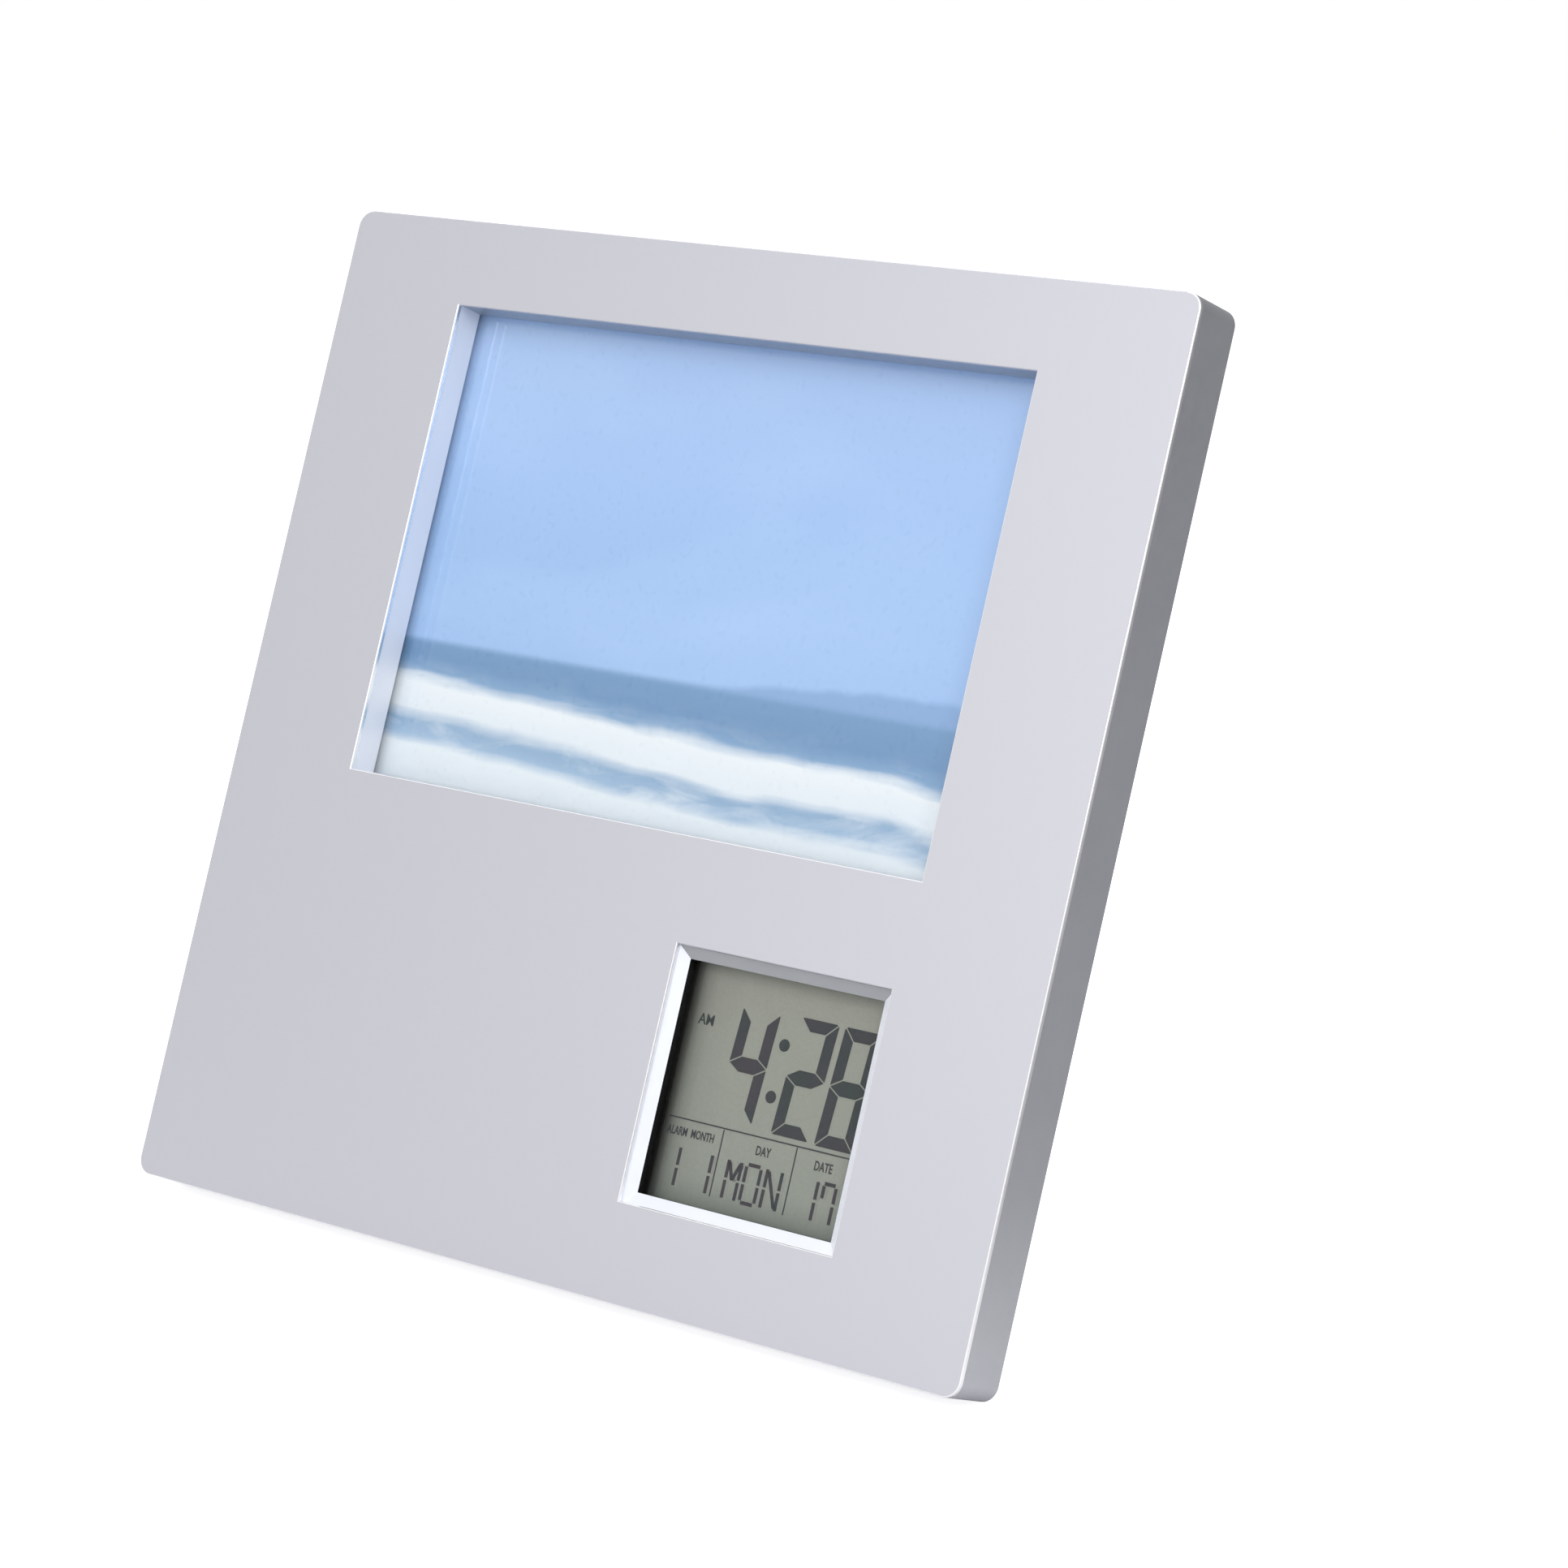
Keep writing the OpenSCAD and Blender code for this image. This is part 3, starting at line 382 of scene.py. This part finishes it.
# The shell is darker on its outer sides than in its two windows, and darker again on the undersides in them:
# painted shade, bluish in the print window as a painted reflection of the print. The straight part round the
# display is black, for the black inner plastic there and painted shade.
SHELL_RIM = 4
WELL_DEPTH = 7
TAPER_DEPTH = 1.5
SHELL_PAINTS = ("side", "well", "under", "cover", "painted_shade_print_top")
shell = nodes["frame_shell"].data
shell.materials.clear()
for key in SHELL_PAINTS:
    shell.materials.append(MAT[key])
for face in shell.polygons:
    at, facing = in_frame(face)
    paint = "side"
    if abs(at.x) < SIDE / 2 - SHELL_RIM and SHELL_RIM < at.z < SIDE - SHELL_RIM and at.y < WELL_DEPTH:
        low = at.z < BETWEEN_Z
        paint = "well" if facing.z > -0.0003 else "under" if low else "painted_shade_print_top"
        # The straight wall round the display is black: the inner plastic there, and painted shade.
        if low and at.y > TAPER_DEPTH and abs(facing.y) < 0.0001:
            paint = "cover"
    face.material_index = SHELL_PAINTS.index(paint)


# ---------------------------------------------------------------- meshes

def rounded(w, h, r, steps=12):
    """Corner points of a rounded rectangle, anticlockwise from the front."""
    if r <= 0:
        return [(w / 2, -h / 2), (w / 2, h / 2), (-w / 2, h / 2), (-w / 2, -h / 2)]
    points = []
    for cx, cz, start in ((1, -1, -90), (1, 1, 0), (-1, 1, 90), (-1, -1, 180)):
        for i in range(steps + 1):
            a = math.radians(start + 90 * i / steps)
            points.append((cx * (w / 2 - r) + r * math.cos(a), cz * (h / 2 - r) + r * math.sin(a)))
    return points


def finish_mesh(bm, name, mats, body):
    """Stands the mesh in its place, gives it its materials and lets it ride."""
    bmesh.ops.recalc_face_normals(bm, faces=bm.faces)
    bm.transform(STAND)
    mesh = bpy.data.meshes.new(name)
    bm.to_mesh(mesh)
    bm.free()
    for mat in mats:
        mesh.materials.append(mat)
    piece = add(name, mesh)
    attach(piece, body)
    return piece


def loop_at(bm, points, centre, y):
    """New vertices at the (x, z) points round the centre, y back from the face."""
    return [bm.verts.new((centre[0] + x, y, centre[1] + z)) for x, z in points]


def skin(bm, rings, index):
    """Walls between rings of equal length; index gives each band's material."""
    for k, (a, b) in enumerate(zip(rings, rings[1:])):
        for i in range(len(a)):
            j = (i + 1) % len(a)
            bm.faces.new((a[i], a[j], b[j], b[i])).material_index = index[k]


def cap(bm, loops, index):
    """A flat face between an outer loop and the loops of its holes."""
    edges = []
    for loop in loops:
        for i in range(len(loop)):
            pair = (loop[i], loop[(i + 1) % len(loop)])
            edges.append(bm.edges.get(pair) or bm.edges.new(pair))
    made = bmesh.ops.triangle_fill(bm, use_beauty=True, edges=edges)
    for item in made["geom"]:
        if isinstance(item, bmesh.types.BMFace):
            item.material_index = index


# Face plate: satin front, bright cut edges with a fine chamfer round the outside and both windows.
bm = bmesh.new()
front, back = [], []
for w, h, r, centre, grow in ((SIDE, SIDE, CORNER_R, (0, SIDE / 2), -1),
                              (PHOTO_W, PHOTO_H, 0, (0, PHOTO_Z), 1), (LCD_WIN, LCD_WIN, 0, MOD, 1)):
    rings = []
    for step, y in ((CHAMFER, 0.0), (CHAMFER * 0.35, CHAMFER * 0.3), (0, CHAMFER), (0, PLATE_T)):
        d = grow * step
        rings.append(loop_at(bm, rounded(w + 2 * d, h + 2 * d, r + d if r else 0), centre, y))
    skin(bm, rings, (1, 1, 1))
    # The upper edges, of the plate and of both windows, are satin like the front, not bright: painted shade
    # on the cut edges that face down.
    for face in bm.faces:
        at = face.calc_center_median()
        if grow > 0 and at.z > centre[1] + h / 2 - 0.05 and abs(at.x - centre[0]) < 1:
            face.material_index = 0
    front.append(rings[0])
    back.append(rings[-1])
cap(bm, front, 0)
cap(bm, back, 1)
plate = finish_mesh(bm, "face_panel", [MAT["face"], MAT["cut"]], "frame")
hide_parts("face_plate")

# Print: thin card with the picture.
bm = bmesh.new()
rings = [loop_at(bm, rounded(PRINT_W, PRINT_H, 0), (0, PHOTO_Z), y) for y in (PRINT_FRONT, PRINT_BACK)]
skin(bm, rings, (0,))
cap(bm, [rings[0]], 0)
cap(bm, [rings[1]], 0)
picture = finish_mesh(bm, "print_sheet", [MAT["print"]], "frame")
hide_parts("photo_print")


# ---------------------------------------------------------------- moulded pieces with softened edges

WELD = 2e-6
FLAT_ANGLE = math.radians(1.0)
EDGE_ANGLE = math.radians(32)


def soften(node, width):
    """A copy of a CAD node with small rounds along its sharp edges, in the node's place."""
    bm = bmesh.new()
    bm.from_mesh(nodes[node].data)
    bmesh.ops.remove_doubles(bm, verts=bm.verts, dist=WELD)
    bmesh.ops.dissolve_limit(bm, angle_limit=FLAT_ANGLE, verts=bm.verts, edges=bm.edges, delimit={"MATERIAL"})
    mesh = bpy.data.meshes.new(node + "_soft")
    bm.to_mesh(mesh)
    bm.free()
    for mat in nodes[node].data.materials:
        mesh.materials.append(mat)
    mesh.shade_smooth()
    piece = add(node + "_soft", mesh)
    bevel = piece.modifiers.new("round", "BEVEL")
    bevel.width = width * MM
    bevel.segments = 2
    bevel.limit_method = "ANGLE"
    bevel.angle_limit = EDGE_ANGLE
    bevel.use_clamp_overlap = False
    bevel.harden_normals = True
    even = piece.modifiers.new("even", "WEIGHTED_NORMAL")
    even.keep_sharp = True
    even.weight = 100
    bpy.context.view_layer.update()
    done = bpy.data.meshes.new_from_object(piece.evaluated_get(bpy.context.evaluated_depsgraph_get()))
    piece.modifiers.clear()
    piece.data = done
    done.name = node + "_soft"
    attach(piece, nodes[node]["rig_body"])
    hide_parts(node)
    return piece


COVER_ROUND = 0.16
STEP_Z, STEP_NEAR, STEP_Y = 15.5, 0.7, 13
soften("support_leg", 0.5)
for name in ("photo_door", "back_cover", "battery_door"):
    soften(name, COVER_ROUND)
disc_soft = soften("control_disc", COVER_ROUND)
# The step up to the disc's raised half has a lighter paint along its upper side: a painted highlight of the
# light it catches.
disc_soft.data.materials.append(MAT["painted_step_highlight"])
for face in disc_soft.data.polygons:
    at, facing = in_frame(face)
    if abs(at.z - MOD[1] - STEP_Z) < STEP_NEAR and facing.z > 0.0007 and at.y > STEP_Y:
        face.material_index = 1
for name in BUTTONS:
    soften(name, 0.12)


# ---------------------------------------------------------------- display segments

INK_Y = LCD_Y - 0.06
INK_BACK = LCD_Y - 0.005
SEGMENTS = {"4": "fgbc", "2": "abged", "8": "abcdefg"}
SEGMENT_T = 2.35
SEGMENT_GAP = 0.24
SEGMENT_CUT = 0.5
SLANT = 0.055


def outline(bm, points, y0=INK_Y, y1=INK_BACK):
    """A thin flat shape from y0 to y1, given in millimetres from the module's middle."""
    rings = [loop_at(bm, points, MOD, y) for y in (y0, y1)]
    skin(bm, rings, (0,))
    for ring in rings:
        bm.faces.new(ring)


def shrunk(points, d):
    """A convex outline with each side moved in by d."""
    if sum(a[0] * b[1] - b[0] * a[1] for a, b in zip(points, points[1:] + points[:1])) < 0:
        points = points[::-1]
    sides = []
    for (ax, az), (bx, bz) in zip(points, points[1:] + points[:1]):
        length = math.hypot(bx - ax, bz - az)
        nx, nz = -(bz - az) / length, (bx - ax) / length
        sides.append((nx, nz, nx * ax + nz * az + d))
    made = []
    for (a0, b0, c0), (a1, b1, c1) in zip(sides[-1:] + sides[:-1], sides):
        det = a0 * b1 - a1 * b0
        made.append(((c0 * b1 - c1 * b0) / det, (a0 * c1 - a1 * c0) / det))
    return made


def digit(bm, char, x0, x1, z0, z1):
    """A seven-segment numeral whose outer edges are x0 to x1 and z0 to z1, with mitred joints."""
    t, cut = SEGMENT_T, SEGMENT_CUT
    m = (z0 + z1) / 2
    h = t * 0.6
    c = cut / 2
    shapes = {
        "a": [(x0 + cut, z1), (x1 - cut, z1), (x1 - c, z1 - c), (x1 - t, z1 - t), (x0 + t, z1 - t),
              (x0 + c, z1 - c)],
        "b": [(x1 - c, z1 - c), (x1, z1 - cut), (x1, m), (x1 - t, m + h), (x1 - t, z1 - t)],
        "c": [(x1, m), (x1, z0 + cut), (x1 - c, z0 + c), (x1 - t, z0 + t), (x1 - t, m - h)],
        "d": [(x0 + cut, z0), (x0 + c, z0 + c), (x0 + t, z0 + t), (x1 - t, z0 + t), (x1 - c, z0 + c),
              (x1 - cut, z0)],
        "e": [(x0 + c, z0 + c), (x0, z0 + cut), (x0, m), (x0 + t, m - h), (x0 + t, z0 + t)],
        "f": [(x0, m), (x0, z1 - cut), (x0 + c, z1 - c), (x0 + t, z1 - t), (x0 + t, m + h)],
        "g": [(x0, m), (x0 + t, m + h), (x1 - t, m + h), (x1, m), (x1 - t, m - h), (x0 + t, m - h)],
    }
    for key in SEGMENTS[char]:
        leaning = [(x + SLANT * (z - m), z) for x, z in shapes[key]]
        outline(bm, shrunk(leaning, SEGMENT_GAP / 2))


def stroke(bm, a, b, t, y0):
    """A straight bar from a to b, as wide as t."""
    (ax, az), (bx, bz) = a, b
    length = math.hypot(bx - ax, bz - az)
    nx, nz = -(bz - az) / length * t / 2, (bx - ax) / length * t / 2
    outline(bm, [(ax + nx, az + nz), (bx + nx, bz + nz), (bx - nx, bz - nz), (ax - nx, az - nz)], y0)


def disc(bm, x, z, r, steps=28):
    outline(bm, [(x + r * math.cos(math.tau * i / steps), z + r * math.sin(math.tau * i / steps))
                 for i in range(steps)])


bm = bmesh.new()
digit(bm, "4", -9.7, -1.8, -4.9, 14.3)
digit(bm, "2", 2.2, 10.1, -5.4, 14.7)
digit(bm, "8", 11.1, 19.1, -5.6, 14.7)
for x, z in ((0.6, 9.35), (0.2, 0.55)):
    disc(bm, x, z, 1.05)
big = finish_mesh(bm, "display_numerals", [MAT["ink"]], "clock_module")

# The calendar row: thin numerals and the weekday, with their painted pale shadow on the display's back.
LETTERS = {
    "M": [((0, 0), (0, .47)), ((0, .53), (0, 1)), ((.08, .95), (.5, .5)), ((.5, .5), (.92, .95)),
          ((1, 0), (1, .47)), ((1, .53), (1, 1))],
    "O": [((0, .06), (0, .47)), ((0, .53), (0, .94)), ((.1, 1), (.9, 1)), ((.1, 0), (.9, 0)),
          ((1, .06), (1, .47)), ((1, .53), (1, .94))],
    "N": [((0, 0), (0, .47)), ((0, .53), (0, 1)), ((.1, .95), (.9, .05)), ((1, 0), (1, .47)),
          ((1, .53), (1, 1))],
    "1": [((1, 0), (1, .46)), ((1, .54), (1, 1))],
    "7": [((0, 1), (.9, 1)), ((0, .62), (0, .94)), ((1, 0), (1, .46)), ((1, .54), (1, .94))],
}


ROW_Z, ROW_H = -17.5, 6.4


def row(bm, shift, t, y0):
    """The calendar row in strokes t wide, moved by shift."""
    for char, x0, x1 in (("1", -17.4, -15.3), ("1", -10.5, -8.6), ("M", -5.1, -2.5), ("O", -1.4, 1.6),
                         ("N", 2.9, 5.9), ("1", 11.6, 13.2), ("7", 14.5, 16.9)):
        for a, b in LETTERS[char]:
            ends = [(x0 + u * (x1 - x0) + shift[0], ROW_Z + w * ROW_H + shift[1]) for u, w in (a, b)]
            stroke(bm, ends[0], ends[1], t, y0)


def flat_piece(name, key, draw):
    """A display piece of its own, with what draw puts in its mesh."""
    bm = bmesh.new()
    draw(bm)
    piece = finish_mesh(bm, name, [MAT[key]], "clock_module")


def rules(bm):
    """The line under the time and the two that part the calendar row."""
    stroke(bm, (-19.2, -6.28), (18.6, -6.28), 0.24, LCD_Y - 0.05)
    for x in (-7.5, 7.64):
        stroke(bm, (x, -17.8), (x, -6.5), 0.22, LCD_Y - 0.05)


flat_piece("display_calendar", "ink", lambda bm: row(bm, (0, 0), 0.62, INK_Y))
flat_piece("display_lines", "ink", rules)
flat_piece("display_painted_shadows", "painted_shadow", lambda bm: row(bm, (0.55, -0.12), 0.6, LCD_Y - 0.02))


CAP_SHARE = 0.73
LETTER_RISE = 0.03


def words(name, text, at, size, key, body, from_behind=False):
    """Flat generic lettering as a mesh, centred on at (x, y, z) and fitted to size (width, height)."""
    curve = bpy.data.curves.new(name, "FONT")
    curve.body = text
    curve.size = size[1] / CAP_SHARE
    curve.align_x = "CENTER"
    curve.align_y = "CENTER"
    curve.offset = 0.035
    curve.extrude = 0.025
    curve.resolution_u = 3
    maker = add(name + "_maker", curve)
    bpy.context.view_layer.update()
    mesh = bpy.data.meshes.new_from_object(maker.evaluated_get(bpy.context.evaluated_depsgraph_get()))
    fit = size[0] / maker.dimensions.x
    bpy.data.objects.remove(maker)
    turn = Matrix.Translation(at) @ Matrix.Rotation(math.pi if from_behind else 0, 4, "Z")
    mesh.transform(STAND @ turn @ Matrix.Rotation(math.pi / 2, 4, "X") @ Matrix.Diagonal((fit, 1, 1, 1)))
    mesh.name = name
    mesh.materials.clear()
    mesh.materials.append(MAT[key])
    piece = add(name, mesh)
    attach(piece, body)


for name, text, x, z, width, height in (("label_month", "ALARM  MONTH", -14.0, -8.5, 9.8, 1.5),
                                        ("label_day", "DAY", 1.15, -8.6, 3.0, 1.6),
                                        ("label_date", "DATE", 13.5, -8.7, 3.6, 1.6),
                                        ("mark_am", "AM", -16.0, 10.6, 3.2, 1.9)):
    words(name, text, (MOD[0] + x, LCD_Y - LETTER_RISE, MOD[1] + z), (width, height), "ink", "clock_module")

# Raised function words beside the buttons and an index line on the cover.
WORD_H = 1.7
for name, text, x, z, width in (("word_set", "SET", 19.6, 11.7, 4.2), ("word_up", "UP", 6.4, 11.9, 2.8),
                                ("word_down", "DOWN", -6.4, 11.9, 5.6),
                                ("word_alarm", "ALARM", -19.0, 11.7, 6.4),
                                ("word_mode", "MODE", 13.2, -12.0, 5.4),
                                ("word_reset", "RESET", -13.2, -12.0, 6.4)):
    words(name, text, (MOD[0] + x, RAISED_Y + LETTER_RISE, MOD[1] + z), (width, WORD_H), "emboss",
          "clock_module", True)
COVER_Y = 15.55
INDEX_LINE = ((14.6, 33.2), (18.4, 33.2), (18.4, 33.7), (14.6, 33.7))
bm = bmesh.new()
outline(bm, INDEX_LINE, COVER_Y, COVER_Y + 0.11)
index_line = finish_mesh(bm, "index_line", [MAT["emboss"]], "frame")

# ---------------------------------------------------------------- stage, lights and camera

FLOOR_HALF = 6.0
FLOOR_PALE, FLOOR_DIM = (0.86, 0.86, 0.87), (0.3, 0.3, 0.31)
floor_mesh = bpy.data.meshes.new("floor")
floor_mesh.from_pydata([(x * FLOOR_HALF, y * FLOOR_HALF, 0) for x, y in ((-1, -1), (1, -1), (1, 1), (-1, 1))],
                       [], [(0, 1, 2, 3)])
floor = add("floor", floor_mesh)
floor.location.z = -0.0002
tree, shader, mat = material("floor_pale")
shader.inputs["Roughness"].default_value = 0.9
shader.inputs["Specular IOR Level"].default_value = 0.1
path = tree.nodes.new("ShaderNodeLightPath")
glow = math_node(tree, "MULTIPLY_ADD", path.outputs["Is Camera Ray"], 0.8,
                 math_node(tree, "MULTIPLY", path.outputs["Is Glossy Ray"], 0.1))
tree.links.new(glow, shader.inputs["Emission Strength"])
shader.inputs["Emission Color"].default_value = (1, 1, 1, 1)
# Reflections see the floor dimmer behind the object, like the studio above it.
where = tree.nodes.new("ShaderNodeTexCoord")
split = tree.nodes.new("ShaderNodeSeparateXYZ")
tree.links.new(where.outputs["Object"], split.inputs[0])
back_part = ramp(tree, math_node(tree, "ADD", split.outputs["Y"], 0.1), [(0.04, 0.0), (0.18, 1.0)])
far = math_node(tree, "MULTIPLY", back_part, path.outputs["Is Glossy Ray"])
tree.links.new(mixed(tree, far, FLOOR_PALE, FLOOR_DIM), shader.inputs["Base Color"])
floor_mesh.materials.append(mat)

world = bpy.data.worlds.new("studio")
world.use_nodes = True
bpy.context.scene.world = world
tree = world.node_tree
tree.nodes.clear()
out = tree.nodes.new("ShaderNodeOutputWorld")
sky = tree.nodes.new("ShaderNodeBackground")
path = tree.nodes.new("ShaderNodeLightPath")
direct = math_node(tree, "MAXIMUM", path.outputs["Is Camera Ray"], path.outputs["Is Transmission Ray"])
# Reflections see a studio that is bright in front and above and dimmer behind the object.
view = tree.nodes.new("ShaderNodeTexCoord")
split = tree.nodes.new("ShaderNodeSeparateXYZ")
tree.links.new(view.outputs["Generated"], split.inputs[0])
behind = math_node(tree, "MULTIPLY_ADD", split.outputs["Z"], -0.8, split.outputs["Y"])
studio = ramp(tree, math_node(tree, "MULTIPLY_ADD", behind, 0.5, 0.5), [(0.35, 1.0), (0.75, 0.28)])
mirror = math_node(tree, "MULTIPLY", path.outputs["Is Glossy Ray"], studio)
soft = math_node(tree, "MULTIPLY", path.outputs["Is Diffuse Ray"], 0.5)
strength = math_node(tree, "MAXIMUM", direct, math_node(tree, "MAXIMUM", mirror, soft))
tree.links.new(strength, sky.inputs["Strength"])
sky.inputs["Color"].default_value = (1, 1, 1, 1)
tree.links.new(sky.outputs[0], out.inputs[0])


def area(name, place_at, aim, size, power):
    """A soft lamp at place_at that looks at aim."""
    lamp = bpy.data.lights.new(name, "AREA")
    lamp.shape = "RECTANGLE"
    lamp.size, lamp.size_y = size
    lamp.energy = power
    holder = add(name, lamp)
    holder.location = place_at
    holder.rotation_euler = (Vector(aim) - Vector(place_at)).to_track_quat("-Z", "Y").to_euler()


area("key_light", (0.95, -1.15, 1.15), (0, 0, 0.08), (1.0, 1.0), 12)
area("front_light", (-0.3, -1.5, 0.75), (0, 0, 0.08), (1.0, 1.0), 4.5)
area("top_light", (-0.2, 0.1, 1.6), (0, 0, 0.05), (1.4, 1.4), 9.5)
area("rear_light", (-0.8, 0.7, 1.1), (0, 0, 0.08), (0.8, 0.8), 7)

# The camera as solved from the photograph.
CAMERA_AT = (0.45436, -0.6192, 0.19953)
lens = bpy.data.cameras.new("camera")
lens.lens = 100.88
lens.sensor_width = 36
lens.clip_start = 0.01
camera = add("camera", lens)
az, el, roll = (math.radians(v) for v in (35.945, 8.591, 4.398))
ahead = Vector((-math.sin(az) * math.cos(el), math.cos(az) * math.cos(el), -math.sin(el)))
right = ahead.cross(Vector((0, 0, 1))).normalized()
up = right.cross(ahead)
right, up = math.cos(roll) * right + math.sin(roll) * up, -math.sin(roll) * right + math.cos(roll) * up
turn = Matrix((right, up, -ahead)).transposed().to_4x4()
camera.matrix_world = Matrix.Translation(CAMERA_AT) @ turn
bpy.context.scene.camera = camera
bpy.context.scene.view_settings.view_transform = "Standard"

bpy.context.view_layer.update()
